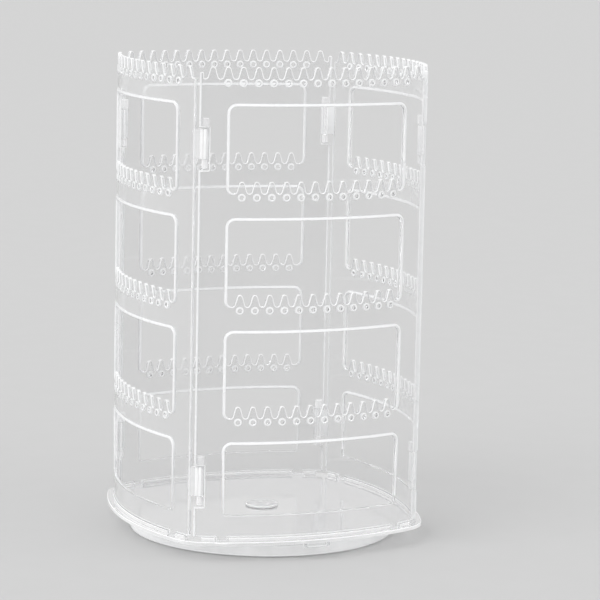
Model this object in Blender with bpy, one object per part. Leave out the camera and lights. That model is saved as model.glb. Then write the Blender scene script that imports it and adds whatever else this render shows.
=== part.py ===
"""Rotating earring stand in clear moulded plastic.

Four equal bowed panels, each with four rows of hook teeth over earring holes and four windows, clip
together at their corners and stand in a tray that turns on a round base. Units are metres, +Z is up,
the origin is on the spin axis at table level, and panel_front faces -Y.
"""

from math import asin, atan2, ceil, cos, pi, radians, sin, sqrt

import bmesh
import bpy
from mathutils import Matrix, Vector
from mathutils.geometry import delaunay_2d_cdt

MM = 0.001

# Free play left between two mouldings
GAP = 0.3 * MM
# How far one shape runs into another before the two are united
BITE = 0.6 * MM

# Plan of the tower: four arcs that meet on the corner circle
CORNER_RADIUS = 91.0 * MM
ARC_RADIUS = 156.5 * MM
HALF_CHORD = CORNER_RADIUS / sqrt(2)
ARC_CENTRE = sqrt(ARC_RADIUS**2 - HALF_CHORD**2) - HALF_CHORD
HALF_ARC = ARC_RADIUS * asin(HALF_CHORD / ARC_RADIUS)

# Levels of the stack above the table
BASE_FOOT_Z = 0.8 * MM
BASE_TOP_Z = 8.0 * MM
TRAY_UNDER_Z = 9.5 * MM
TRAY_FLOOR_Z = 11.5 * MM
PANEL_FOOT_Z = 13.5 * MM

# Panel sheet, with heights measured from its lower edge and widths along its arc
WALL = 2.0 * MM
PANEL_HEIGHT = 242.8 * MM
LEFT_SETBACK = 0.8 * MM
RIGHT_SETBACK = 2.4 * MM
# Narrow strip at the left corner that stands as high as the panel
CORNER_STRIP = 2.2 * MM

# Hook teeth and earring holes
PITCH = 7.83 * MM
LOWEST_ROW = 61.2 * MM
TOP_ROW_DROP = 5.35 * MM
TEETH_PER_TIER = (12, 12, 12, 14)
TOP_TIER = len(TEETH_PER_TIER) - 1
# Teeth without a hole at each end of the top row
END_TEETH = 1
TIER = (PANEL_HEIGHT - TOP_ROW_DROP - LOWEST_ROW) / TOP_TIER
VALLEY_OVER_HOLE = 2.1 * MM
TOOTH_HEIGHT = 6.2 * MM
TOOTH_HALF_TIP = 1.1 * MM
TOOTH_HALF_ROOT = 2.4 * MM
TOOTH_FLARE = 1.3 * MM
HOLE_RADIUS = 1.3 * MM
HOLE_SIDES = 6

# Windows between the tiers
WINDOW_HALF_WIDTH = 49.6 * MM
WINDOW_UNDER_ROW = 12.1 * MM
WINDOW_SILL = 11.7 * MM
WINDOW_RADIUS = 3.5 * MM
SILL_RADIUS = 1.0 * MM

# Tabs under each panel, which drop through slots in the tray
TAB_CENTRE = 50.5 * MM
TAB_HALF_WIDTH = 3.0 * MM
TAB_DEPTH = 3.2 * MM

# Corner hinges: a lug and pin on a panel's left edge, a snap-on barrel on its right edge
LOWER_HINGE_TOP = 42.8 * MM
UPPER_HINGE_DROP = 23.4 * MM
HINGE_ALONG = 3.85 * MM
HINGE_DEPTH = 3.2 * MM
LUG_HEIGHT = 5.4 * MM
BARREL_HEIGHT = 15.5 * MM
PIN_FOOT_HEIGHT = 5.0 * MM
BARREL_RADIUS = 2.3 * MM
PIN_RADIUS = 1.1 * MM
PIN_FOOT_RADIUS = 1.7 * MM
PIN_FOOT_TAPER = 0.6 * MM
BARREL_BORE = PIN_RADIUS + GAP
BARREL_MOUTH = radians(100)
ARM_ROOT = 1.2 * MM
ARM_INSET = 0.3 * MM
NOTCH_WIDTH = 6.2 * MM
NOTCH_MARGIN = 0.5 * MM

# Turntable tray
TRAY_OVERHANG = 3.5 * MM
TRAY_CORNER_RADIUS = 21.7 * MM
CURB_WIDTH = 2.6 * MM
CURB_END = 5.0 * MM
GRIP_WIDTH = 15.4 * MM
GRIP_FOOT_Z = 6.8 * MM
GRIP_INSET = 0.4 * MM
GRIP_WALL = 1.5 * MM
GRIP_BEND = 1.6 * MM
GRIP_BAR = 1.1 * MM
GRIP_SLOT_WIDTH = 10.0 * MM
GRIP_SLOT_HEIGHT = 1.3 * MM

# Pivot: a hollow post on the base and the cap pressed into it
POST_RADIUS = 6.0 * MM
POST_BORE = 3.6 * MM
CAP_RADIUS = 9.0 * MM
CAP_FLANGE = 1.2 * MM
CAP_STEM_LENGTH = 4.6 * MM
CAP_EASE = 0.4 * MM

# Round base
BASE_RADIUS = 73.0 * MM
BASE_TAPER = 1.4 * MM
BASE_WALL = 2.0 * MM
BASE_TOP_EASE = 1.3 * MM
BASE_BAND = 1.2 * MM
BEARING_INSET = 23.0 * MM
BEARING_WIDTH = 3.0 * MM
FOOT_INSET = 13.0 * MM
FOOT_RADIUS = 5.0 * MM
FOOT_HEIGHT = 2.0 * MM
FOOT_BOSS_WALL = 1.7 * MM
FOOT_BOSS_DROP = 0.3 * MM

# Fineness of curved edges
SHEET_STEP = 2 * PITCH
BASE_SEGMENTS = 36
PIVOT_SEGMENTS = 16
PIN_SEGMENTS = 8

TURNS = {"panel_front": 0, "panel_right": 1, "panel_back": 2, "panel_left": 3}


# Plane outlines


def evenly(start, end, step):
    """Points after start up to and with end, no further apart than step."""
    start, end = Vector(start), Vector(end)
    count = max(1, ceil((end - start).length / step - 1e-6))
    return [start.lerp(end, i / count) for i in range(1, count + 1)]


def arc(centre, radius, first, last, steps):
    """Points on a circle from angle first to last, both ends included."""
    angles = [first + (last - first) * i / steps for i in range(steps + 1)]
    return [Vector(centre) + radius * Vector((cos(a), sin(a))) for a in angles]


def circle(centre, radius, sides, turn=0.0):
    return arc(centre, radius, turn, turn + 2 * pi, sides)[:-1]


def rounded_rectangle(width, height, radius, centre=(0, 0), steps=3):
    x, y = width / 2 - radius, height / 2 - radius
    corners = ((x, y), (-x, y), (-x, -y), (x, -y))
    points = []
    for i, corner in enumerate(corners):
        points += arc(Vector(corner) + Vector(centre), radius, i * pi / 2, (i + 1) * pi / 2, steps)
    return points


def bowed_square(offset, corner_radius, side_steps=8, corner_steps=4):
    """The tower's plan moved outward by offset, with its corners rounded, anticlockwise."""
    radius = ARC_RADIUS + offset
    reach = radius - corner_radius
    along = (sqrt(4 * reach**2 - 2 * ARC_CENTRE**2) - sqrt(2) * ARC_CENTRE) / 2
    half = along / sqrt(2)
    limit = atan2(half, half + ARC_CENTRE)
    side = arc((0, ARC_CENTRE), radius, limit - pi / 2, -limit - pi / 2, side_steps)[::-1]
    corner = arc((half, -half), corner_radius, limit - pi / 2, -limit, corner_steps)[1:-1]
    points = []
    for turn in range(4):
        spin = Matrix.Rotation(turn * pi / 2, 2)
        points += [spin @ p for p in side + corner]
    return points


def tooth_row(count, valley_height):
    """The edge of a row of hook teeth from its left valley to its right one."""
    points = [Vector((-count / 2 * PITCH, valley_height))]
    for i in range(count):
        centre = (i - (count - 1) / 2) * PITCH
        tip = TOOTH_HEIGHT + valley_height
        points += [
            Vector((centre - TOOTH_HALF_ROOT, valley_height + TOOTH_FLARE)),
            Vector((centre - TOOTH_HALF_TIP, tip)),
            Vector((centre + TOOTH_HALF_TIP, tip)),
            Vector((centre + TOOTH_HALF_ROOT, valley_height + TOOTH_FLARE)),
            Vector((centre + PITCH / 2, valley_height)),
        ]
    return points


def row_height(tier):
    return LOWEST_ROW + tier * TIER


def hinge_tops():
    return LOWER_HINGE_TOP, PANEL_HEIGHT - UPPER_HINGE_DROP


def window_outline(tier):
    """A window's edge: plain sill or tooth row below, rounded corners above."""
    top = row_height(tier) - WINDOW_UNDER_ROW
    edge, bend = WINDOW_HALF_WIDTH, WINDOW_RADIUS
    if tier == 0:
        left = arc((-edge + SILL_RADIUS, WINDOW_SILL + SILL_RADIUS), SILL_RADIUS, pi, 1.5 * pi, 2)
        right = [Vector((-p.x, p.y)) for p in reversed(left)]
        points = left + evenly(left[-1], right[0], SHEET_STEP)[:-1] + right
    else:
        row = tooth_row(TEETH_PER_TIER[tier - 1], row_height(tier - 1) + VALLEY_OVER_HOLE)
        low_bend = row[0].x + edge
        side = arc((row[0].x, row[0].y + low_bend), low_bend, pi, 1.5 * pi, 3)[:-1]
        points = side + row + [Vector((-p.x, p.y)) for p in reversed(side)]
    head = arc((edge - bend, top - bend), bend, 0, pi / 2, 3)
    far = [Vector((-p.x, p.y)) for p in reversed(head)]
    return points + head + evenly(head[-1], far[0], SHEET_STEP)[:-1] + far


def panel_outline():
    """A panel's outer edge, anticlockwise from its lower left corner."""
    left, right = -HALF_ARC + LEFT_SETBACK, HALF_ARC - RIGHT_SETBACK
    points = [Vector((left, 0))]
    for centre in (-TAB_CENTRE, TAB_CENTRE):
        near, far = centre - TAB_HALF_WIDTH, centre + TAB_HALF_WIDTH
        points += evenly(points[-1], (near, 0), SHEET_STEP)
        points += [Vector((near, -TAB_DEPTH)), Vector((far, -TAB_DEPTH)), Vector((far, 0))]
    points += evenly(points[-1], (right, 0), SHEET_STEP)

    row = tooth_row(TEETH_PER_TIER[-1] + 2 * END_TEETH, row_height(TOP_TIER) + VALLEY_OVER_HOLE)
    points += [Vector((right, row[-1].y))] + row[::-1]
    bend = CORNER_STRIP / 2
    points += arc((left + bend, PANEL_HEIGHT - bend), bend, 0, pi, 4)

    inner = -HALF_ARC + NOTCH_WIDTH
    for hinge_top in reversed(hinge_tops()):
        notch_top = hinge_top - LUG_HEIGHT + NOTCH_MARGIN
        notch_foot = hinge_top - LUG_HEIGHT - BARREL_HEIGHT - 2 * GAP - PIN_FOOT_HEIGHT - NOTCH_MARGIN
        points += [Vector(p) for p in ((left, notch_top), (inner, notch_top))]
        points += [Vector(p) for p in ((inner, notch_foot), (left, notch_foot))]
    return points


def hole_outlines():
    loops = []
    for tier, count in enumerate(TEETH_PER_TIER):
        for i in range(count):
            centre = ((i - (count - 1) / 2) * PITCH, row_height(tier))
            loops.append(circle(centre, HOLE_RADIUS, HOLE_SIDES, pi / HOLE_SIDES))
    return loops


# Solids


def new_object(name, bm):
    mesh = bpy.data.meshes.new(name)
    bmesh.ops.recalc_face_normals(bm, faces=bm.faces)
    bm.to_mesh(mesh)
    bm.free()
    obj = bpy.data.objects.new(name, mesh)
    bpy.context.collection.objects.link(obj)
    return obj


def sheet(name, outline, holes, low, high, place=None):
    """A flat sheet with holes, from low to high along Z, each point then moved by place."""
    points, loops = [], []
    for loop in [outline] + holes:
        loops.append(list(range(len(points), len(points) + len(loop))))
        points += [Vector(p) for p in loop]
    corners, _, triangles, _, _, within = delaunay_2d_cdt(points, [], loops, 1, 1e-9)
    bm = bmesh.new()
    verts = [bm.verts.new((p.x, p.y, low)) for p in corners]
    for triangle, regions in zip(triangles, within):
        if list(regions) == [0]:
            bm.faces.new([verts[i] for i in triangle])
    raised = bmesh.ops.extrude_face_region(bm, geom=bm.faces[:])["geom"]
    top = [item for item in raised if isinstance(item, bmesh.types.BMVert)]
    bmesh.ops.translate(bm, verts=top, vec=(0, 0, high - low))
    if place:
        for vert in bm.verts:
            vert.co = place(*vert.co)
    return new_object(name, bm)


def turned(name, profile, segments, centre=(0, 0), closed=False):
    """A profile of radius and height turned about a vertical axis."""
    bm = bmesh.new()
    verts = [bm.verts.new((r, 0, z)) for r, z in profile]
    pairs = list(zip(verts, verts[1:])) + ([(verts[-1], verts[0])] if closed else [])
    edges = [bm.edges.new(pair) for pair in pairs]
    bmesh.ops.spin(bm, geom=verts + edges, axis=(0, 0, 1), cent=(0, 0, 0), angle=2 * pi,
                   steps=segments, use_merge=True)
    bmesh.ops.remove_doubles(bm, verts=bm.verts, dist=1e-6)
    bmesh.ops.translate(bm, verts=bm.verts, vec=(*centre, 0))
    return new_object(name, bm)


def united(body, additions):
    """The body with the additions joined on, as one mesh."""
    for piece in additions:
        union = body.modifiers.new(piece.name, "BOOLEAN")
        union.operation, union.solver, union.object = "UNION", "EXACT", piece
    depsgraph = bpy.context.evaluated_depsgraph_get()
    mesh = bpy.data.meshes.new_from_object(body.evaluated_get(depsgraph))
    body.modifiers.clear()
    body.data = mesh
    for piece in additions:
        bpy.data.objects.remove(piece)
    return body


def clear_plastic(name, colour, roughness, alpha):
    material = bpy.data.materials.new(name)
    material.use_nodes = True
    shader = material.node_tree.nodes["Principled BSDF"]
    shader.inputs["Base Color"].default_value = (*colour, 1)
    shader.inputs["Roughness"].default_value = roughness
    shader.inputs["Metallic"].default_value = 0
    shader.inputs["Transmission Weight"].default_value = 0.9
    shader.inputs["Alpha"].default_value = alpha
    return material


def finish(obj, material, parent=None, turn=0.0):
    obj.data.materials.clear()
    obj.data.materials.append(material)
    obj.data.shade_smooth()
    obj.data.set_sharp_from_angle(angle=radians(30))
    obj.parent = parent
    obj.rotation_euler.z = turn
    return obj


# Panels


def bent(along, height, depth):
    """A point of the flat panel sheet carried onto the front panel's arc, depth running inward."""
    angle, radius = along / ARC_RADIUS, ARC_RADIUS - depth
    return Vector((radius * sin(angle), ARC_CENTRE - radius * cos(angle), height))


def hinge_axis():
    """Where the front panel's own pins stand, in plan."""
    return bent(-HALF_ARC + HINGE_ALONG, 0, HINGE_DEPTH).xy


def hinge_pin(name, top):
    """Lug, pin and the foot that keeps a barrel on it, as one turned piece."""
    lug_foot = top - LUG_HEIGHT
    foot_top = lug_foot - BARREL_HEIGHT - 2 * GAP
    foot = foot_top - PIN_FOOT_HEIGHT
    profile = [
        (0, top),
        (BARREL_RADIUS, top),
        (BARREL_RADIUS, lug_foot),
        (PIN_RADIUS, lug_foot),
        (PIN_RADIUS, foot_top),
        (PIN_FOOT_RADIUS, foot_top),
        (PIN_FOOT_RADIUS, foot + PIN_FOOT_TAPER),
        (PIN_RADIUS, foot),
        (0, foot),
    ]
    return turned(name, profile, PIN_SEGMENTS, hinge_axis())


def barrel(name, top):
    """C-shaped barrel open to the inside of the tower, on an arm from the panel's right edge."""
    centre = Matrix.Rotation(pi / 2, 2) @ hinge_axis()
    inward = atan2(-centre.y, -centre.x)
    mouth = (inward - BARREL_MOUTH / 2, inward + BARREL_MOUTH / 2)
    root = HALF_ARC - RIGHT_SETBACK - ARM_ROOT
    outer_root = bent(root, 0, ARM_INSET).xy
    inner_root = bent(root, 0, WALL - ARM_INSET).xy
    to_root = (outer_root + inner_root) / 2 - centre
    root_angle = atan2(to_root.y, to_root.x) % (2 * pi)
    spread = radians(38)
    first = mouth[1] % (2 * pi)
    last = first + 2 * pi - BARREL_MOUTH
    root_angle += 2 * pi * (root_angle < first)
    rear = arc(centre, BARREL_RADIUS, first, root_angle - spread, 3)
    front = arc(centre, BARREL_RADIUS, root_angle + spread, last, 3)
    bore = arc(centre, BARREL_BORE, last, first, 6)
    near_rear = min((outer_root, inner_root), key=lambda p: (p - rear[-1]).length)
    near_front = inner_root if near_rear == outer_root else outer_root
    outline = rear + [near_rear, near_front] + front + bore
    high = top - LUG_HEIGHT - GAP
    return sheet(name, outline, [], high - BARREL_HEIGHT, high)


def panel_mesh():
    """The moulding that all four sides share, made as the front one."""
    openings = [window_outline(tier) for tier in range(TOP_TIER + 1)] + hole_outlines()
    body = sheet("panel", panel_outline(), openings, 0, WALL, bent)
    hardware = []
    for i, top in enumerate(hinge_tops()):
        hardware += [hinge_pin(f"pin_{i}", top), barrel(f"barrel_{i}", top)]
    mesh = united(body, hardware).data
    bpy.data.objects.remove(body)
    mesh.transform(Matrix.Translation((0, 0, PANEL_FOOT_Z)))
    return mesh


def make_panels(axis):
    shared = panel_mesh()
    for name, turn in TURNS.items():
        panel = bpy.data.objects.new(name, shared.copy())
        bpy.context.collection.objects.link(panel)
        tint = 0.93 - 0.01 * turn
        finish(panel, clear_plastic(name, (tint, tint, tint), 0.08, 0.35), axis, turn * pi / 2)


# Turntable tray


def curb_strip(name, first, last):
    """A raised strip under the front panel's edge, between two places along the arc."""
    outer = (WALL - CURB_WIDTH) / 2
    inner = outer + CURB_WIDTH
    count = max(2, ceil((last - first) / SHEET_STEP))
    stations = [first + (last - first) * i / count for i in range(count + 1)]
    outline = [bent(s, 0, outer).xy for s in stations]
    outline += [bent(s, 0, inner).xy for s in reversed(stations)]
    return sheet(name, outline, [], TRAY_FLOOR_Z - BITE, PANEL_FOOT_Z - GAP)


def quarter_turned(make, name, *values):
    """The four copies of a front-side piece, one for each side."""
    pieces = []
    for turn in range(4):
        piece = make(f"{name}_{turn}", *values)
        piece.data.transform(Matrix.Rotation(turn * pi / 2, 4, "Z"))
        pieces.append(piece)
    return pieces


def tab_slot(centre):
    """A slot in the tray floor with free play all round a panel tab."""
    half = TAB_HALF_WIDTH + GAP
    edges = (-GAP, WALL + GAP)
    corners = ((-half, edges[0]), (half, edges[0]), (half, edges[1]), (-half, edges[1]))
    return [bent(centre + along, 0, depth).xy for along, depth in corners]


def grip_loop():
    """A slotted loop that hangs from the tray's front edge and follows its curve."""
    top = TRAY_FLOOR_Z - GAP
    middle = (GRIP_FOOT_Z + top) / 2
    outline = rounded_rectangle(GRIP_WIDTH, top - GRIP_FOOT_Z, GRIP_BEND, (0, middle), steps=2)
    slot_middle = GRIP_FOOT_Z + GRIP_BAR + GRIP_SLOT_HEIGHT / 2
    slot = rounded_rectangle(GRIP_SLOT_WIDTH, GRIP_SLOT_HEIGHT, 0.5 * MM, (0, slot_middle), steps=1)
    outer = GRIP_INSET - TRAY_OVERHANG
    return sheet("grip_loop", outline, [slot], outer, outer + GRIP_WALL, bent)


def make_tray(axis):
    rim = bowed_square(TRAY_OVERHANG, TRAY_CORNER_RADIUS)
    slots = []
    for turn in range(4):
        spin = Matrix.Rotation(turn * pi / 2, 2)
        slots += [[spin @ p for p in tab_slot(c)] for c in (-TAB_CENTRE, TAB_CENTRE)]
    hub = circle((0, 0), POST_RADIUS + GAP, PIVOT_SEGMENTS)
    tray = sheet("turntable_tray", rim, slots + [hub], TRAY_UNDER_Z, TRAY_FLOOR_Z)

    clear_of_tab = TAB_HALF_WIDTH + 2 * GAP
    curbs = quarter_turned(curb_strip, "curb_middle", -TAB_CENTRE + clear_of_tab, TAB_CENTRE - clear_of_tab)
    curbs += quarter_turned(curb_strip, "curb_left", -HALF_ARC + CURB_END, -TAB_CENTRE - clear_of_tab)
    curbs += quarter_turned(curb_strip, "curb_right", TAB_CENTRE + clear_of_tab, HALF_ARC - CURB_END)
    united(tray, [grip_loop()] + curbs)
    finish(tray, clear_plastic("turntable_tray", (0.9, 0.9, 0.9), 0.1, 0.4), axis)


# Base, pivot and feet


def make_base():
    edge, wall = BASE_RADIUS, BASE_WALL
    shoulder = edge - BASE_TAPER
    under = BASE_TOP_Z - wall
    bearing_edge = edge - BEARING_INSET
    bearing_top = TRAY_UNDER_Z - GAP
    profile = [
        (POST_BORE, under),
        (POST_BORE, TRAY_FLOOR_Z),
        (POST_RADIUS, TRAY_FLOOR_Z),
        (POST_RADIUS, BASE_TOP_Z),
        (bearing_edge, BASE_TOP_Z),
        (bearing_edge, bearing_top),
        (bearing_edge + BEARING_WIDTH, bearing_top),
        (bearing_edge + BEARING_WIDTH, BASE_TOP_Z),
        (shoulder - BASE_TOP_EASE, BASE_TOP_Z),
        (shoulder, BASE_TOP_Z - BASE_TOP_EASE),
        (edge, BASE_FOOT_Z + BASE_BAND),
        (edge, BASE_FOOT_Z),
        (edge - wall, BASE_FOOT_Z),
        (shoulder - wall, under),
    ]
    base = turned("base_dish", profile, BASE_SEGMENTS, closed=True)
    pocket_top = FOOT_HEIGHT + GAP
    bosses = []
    for i in range(4):
        angle = pi / 4 + i * pi / 2
        centre = (edge - FOOT_INSET) * Vector((cos(angle), sin(angle)))
        lip, root = BASE_FOOT_Z + FOOT_BOSS_DROP, under + BITE
        pocket = FOOT_RADIUS + GAP
        cup = [
            (0, pocket_top),
            (pocket, pocket_top),
            (pocket, lip),
            (pocket + FOOT_BOSS_WALL, lip),
            (pocket + FOOT_BOSS_WALL, root),
            (0, root),
        ]
        bosses.append(turned(f"boss_{i}", cup, 12, centre))
        pad = turned(f"foot_pad_{i + 1}", [(0, 0), (FOOT_RADIUS, 0), (FOOT_RADIUS, FOOT_HEIGHT),
                                          (0, FOOT_HEIGHT)], 12)
        pad.location = (*centre, 0)
        finish(pad, clear_plastic(pad.name, (0.82, 0.83, 0.84), 0.5, 0.8))
    united(base, bosses)
    finish(base, clear_plastic("base_dish", (0.88, 0.88, 0.89), 0.1, 0.4))


def make_pivot_cap():
    low = TRAY_FLOOR_Z + GAP
    stem, high = POST_BORE - GAP, low + CAP_FLANGE
    ease = CAP_EASE
    profile = [
        (0, high),
        (CAP_RADIUS - ease, high),
        (CAP_RADIUS, high - ease),
        (CAP_RADIUS, low),
        (stem, low),
        (stem, low - CAP_STEM_LENGTH + ease),
        (stem - ease, low - CAP_STEM_LENGTH),
        (0, low - CAP_STEM_LENGTH),
    ]
    cap = turned("pivot_cap", profile, PIVOT_SEGMENTS)
    finish(cap, clear_plastic("pivot_cap", (0.92, 0.92, 0.92), 0.1, 0.4))


def axis_empty(name, parent=None):
    empty = bpy.data.objects.new(name, None)
    bpy.context.collection.objects.link(empty)
    empty.parent = parent
    return empty


def build():
    for obj in list(bpy.data.objects):
        bpy.data.objects.remove(obj)
    spin_axis = axis_empty("spin_axis")
    lift_axis = axis_empty("lift_axis", spin_axis)
    make_base()
    make_pivot_cap()
    make_tray(spin_axis)
    make_panels(lift_axis)


build()
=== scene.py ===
"""Looks of the rotating earring stand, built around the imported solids.

Each piece takes the place of a solid, or of part of one, and rides on its body. Units are metres,
+Z is up, the origin is on the spin axis at table level, and the front panel faces -Y.
"""

from math import asin, atan2, ceil, cos, pi, radians, sin, sqrt, tan

import bpy
from mathutils import Matrix, Vector
from mathutils.geometry import delaunay_2d_cdt


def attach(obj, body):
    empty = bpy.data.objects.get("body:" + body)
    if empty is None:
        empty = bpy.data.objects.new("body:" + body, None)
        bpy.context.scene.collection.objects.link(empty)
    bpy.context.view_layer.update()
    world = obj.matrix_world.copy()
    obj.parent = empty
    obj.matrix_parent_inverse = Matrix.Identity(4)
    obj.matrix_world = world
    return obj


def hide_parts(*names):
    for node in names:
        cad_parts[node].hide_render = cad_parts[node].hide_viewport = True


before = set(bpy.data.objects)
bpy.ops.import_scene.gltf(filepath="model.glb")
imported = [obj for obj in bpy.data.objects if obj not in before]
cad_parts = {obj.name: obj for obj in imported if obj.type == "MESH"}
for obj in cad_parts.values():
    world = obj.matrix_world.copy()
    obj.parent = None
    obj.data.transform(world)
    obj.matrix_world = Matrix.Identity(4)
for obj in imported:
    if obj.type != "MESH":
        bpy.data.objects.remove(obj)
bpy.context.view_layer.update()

MM = 0.001
QUARTER = pi / 2
# Slack for rounding errors
TINY = 1e-6

# Free play left between two mouldings
GAP = 0.3 * MM

# Plan of the tower: four arcs that meet on the corner circle
CORNER_RADIUS = 91.0 * MM
ARC_RADIUS = 156.5 * MM
HALF_CHORD = CORNER_RADIUS / sqrt(2)
ARC_CENTRE = sqrt(ARC_RADIUS**2 - HALF_CHORD**2) - HALF_CHORD
HALF_ARC = ARC_RADIUS * asin(HALF_CHORD / ARC_RADIUS)
SIDES = ("panel_front", "panel_right", "panel_back", "panel_left")

# Levels of the stack above the table
BASE_FOOT_Z = 0.8 * MM
BASE_TOP_Z = 8.0 * MM
TRAY_UNDER_Z = 9.5 * MM
TRAY_FLOOR_Z = 11.5 * MM
PANEL_FOOT_Z = 13.5 * MM

# Panel sheet, with heights measured from its lower edge and widths along its arc
WALL = 2.0 * MM
PANEL_HEIGHT = 242.8 * MM
LEFT_SETBACK = 0.8 * MM
RIGHT_SETBACK = 2.4 * MM
# Narrow strip at the left corner that stands as high as the panel
CORNER_STRIP = 2.2 * MM

# Rounds of the panel's corners as the sheet lies flat
SMALL_ROUND = 0.3 * MM
RIGHT_ROUND = 0.5 * MM
NOTCH_ROUND = 0.6 * MM
TAB_ROUND = 0.7 * MM
STRIP_ROUND = 1.0 * MM

# Hook teeth and earring holes
PITCH = 7.83 * MM
LOWEST_ROW = 61.2 * MM
TOP_ROW_DROP = 5.35 * MM
TEETH_PER_TIER = (12, 12, 12, 14)
TOP_TIER = len(TEETH_PER_TIER) - 1
# Teeth without a hole at each end of the top row
END_TEETH = 1
TIER = (PANEL_HEIGHT - TOP_ROW_DROP - LOWEST_ROW) / TOP_TIER
VALLEY_OVER_HOLE = 2.1 * MM
TOOTH_HEIGHT = 6.2 * MM
CROWN_RADIUS = 1.5 * MM
VALLEY_RADIUS = 1.35 * MM
HOLE_RADIUS = 1.15 * MM

# Windows, one under each row of holes
WINDOW_HALF_WIDTH = 49.6 * MM
WINDOW_UNDER_ROW = 12.1 * MM
WINDOW_SILL = 11.7 * MM
WINDOW_RADIUS = 3.5 * MM
SILL_RADIUS = 1.0 * MM

# Tabs under each panel, which drop through slots in the tray
TAB_CENTRE = 50.5 * MM
TAB_HALF_WIDTH = 3.0 * MM
TAB_DEPTH = 3.2 * MM
SLOT_ROUND = 0.4 * MM

# Corner hinges: a lug and pin on a panel's left edge, a snap-on barrel on its right edge
LOWER_HINGE_TOP = 42.8 * MM
UPPER_HINGE_DROP = 23.4 * MM
HINGE_TOPS = (LOWER_HINGE_TOP, PANEL_HEIGHT - UPPER_HINGE_DROP)
HINGE_ALONG = 3.85 * MM
HINGE_DEPTH = 3.2 * MM
LUG_HEIGHT = 5.4 * MM
BARREL_HEIGHT = 15.5 * MM
BARREL_RADIUS = 2.3 * MM
BARREL_MOUTH = radians(100)
BARREL_EASE = 0.12 * MM
PIN_RADIUS = 1.1 * MM
PIN_FOOT_HEIGHT = 5.0 * MM
PIN_FOOT_RADIUS = 1.7 * MM
PIN_POINT_RADIUS = 0.9 * PIN_RADIUS
PIN_EASE = 0.4 * MM
ARM_ROOT = 1.2 * MM
ARM_INSET = 0.3 * MM
ARM_HALF_SPREAD = radians(38)
# How much of the way to the barrel the arm's front flank runs
ARM_FLANK = 0.85
NOTCH_WIDTH = 6.2 * MM
NOTCH_MARGIN = 0.5 * MM

# Turntable tray
TRAY_WALL = TRAY_FLOOR_Z - TRAY_UNDER_Z
TRAY_OVERHANG = 3.5 * MM
TRAY_CORNER_RADIUS = 21.7 * MM
CURB_WIDTH = 2.6 * MM
CURB_END = 5.0 * MM
CURB_SINK = 0.1 * MM
CURB_STEP = 2.0 * MM
GRIP_WIDTH = 15.4 * MM
GRIP_FOOT_Z = 6.8 * MM
GRIP_INSET = 0.4 * MM
GRIP_WALL = 1.5 * MM
GRIP_BEND = 1.6 * MM
GRIP_BAR = 1.1 * MM
GRIP_SLOT_WIDTH = 10.0 * MM
GRIP_SLOT_HEIGHT = 1.3 * MM
GRIP_SLOT_ROUND = 0.5 * MM
GRIP_STEP = 1.5 * MM

# Pivot: a hollow post on the base and the cap pressed into it
POST_RADIUS = 6.0 * MM
POST_BORE = 3.6 * MM
CAP_RADIUS = 9.0 * MM
CAP_FLANGE = 1.2 * MM
CAP_STEM_LENGTH = 4.6 * MM
CAP_EASE = 0.5 * MM

# Round base, and the cups in it that hold the foot pads
BASE_RADIUS = 73.0 * MM
BASE_TAPER = 1.4 * MM
BASE_WALL = 2.0 * MM
BASE_TOP_EASE = 1.3 * MM
BASE_BAND = 1.2 * MM
BASE_EASE = 0.6 * MM
BEARING_INSET = 23.0 * MM
BEARING_WIDTH = 3.0 * MM
FOOT_INSET = 13.0 * MM
FOOT_RADIUS = 5.0 * MM
FOOT_HEIGHT = 2.0 * MM
FOOT_EASE = 0.5 * MM
FOOT_BOSS_WALL = 1.7 * MM
FOOT_BOSS_DROP = 0.3 * MM
FOOT_BOSS_EASE = 0.25 * MM
FOOT_BOSS_PLAY = 0.02 * MM

# How finely outlines and faces are drawn
STEP = 3.0 * MM
GRID_ALONG = 3.1 * MM
GRID_UP = 7.3 * MM
HOLE_SIDES = 18
BARREL_STEPS = 9
PIN_SEGMENTS = 28
BOSS_SEGMENTS = 36
PAD_SEGMENTS = 40
HUB_SEGMENTS = 48
CAP_SEGMENTS = 72
BASE_SEGMENTS = 144
CDT_EPSILON = 1e-9

# An edge stays sharp past the first angle, a corner with a half angle past the second isn't rounded,
# and easing a corner takes up to this share of each stretch beside it
SHARP = radians(40)
NEARLY_STRAIGHT = radians(88)
EASE_SHARE = 0.45

# Material slots of a wall's rounds and of its middle: 0 is clear, 1 is the near-white painted highlight,
# and
# 2 is the veiled painted highlight, or frosted on the tray
CLEAR, OUTLINED, VEILED, FINE, BRIGHT = (0, 0), (1, 0), (2, 2), (1, 2), (1, 1)

# How far down from its top a tooth is painted bright all through, a painted highlight on its crown
CROWN_DEPTH = 0.9 * MM

# Bands of turned pieces narrower than these carry the painted highlight, on the base only round its foot
PIN_OUTLINE = 0.25 * MM
CAP_OUTLINE = 0.3 * MM
BASE_OUTLINE = 0.45 * MM

# A sheet's wall, from its front face to its middle. The first two numbers of a ring are its distance
# into the material and its depth, as shares of ROUND. The last two are how far a full bead widens
# and lifts it, in millimetres.
ROUND = 0.45 * MM
EDGE_RINGS = (
    (1.30, 0.00, 1.25, 0.00),
    (1.00, 0.00, 1.10, 0.00),
    (0.80, 0.04, 0.75, 0.38),
    (0.30, 0.26, 0.25, 0.50),
    (0.08, 0.55, 0.05, 0.38),
    (0.00, 1.00, 0.00, 0.10),
)

# A hole's wall, from the front face to its middle, as distance into the material and depth in
# millimetres. A depth under nought is the raised lip round the hole.
HOLE_RINGS = (
    (1.00, 0.00),
    (0.92, 0.00),
    (0.87, -0.12),
    (0.74, -0.22),
    (0.25, -0.25),
    (0.06, -0.19),
    (0.00, 0.00),
)

# Bead of the panel's left edge against a window's, and what a window's bead loses at each point of
# its lower corners
LEFT_BEAD = 0.5
BEAD_FADE = 0.16

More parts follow.
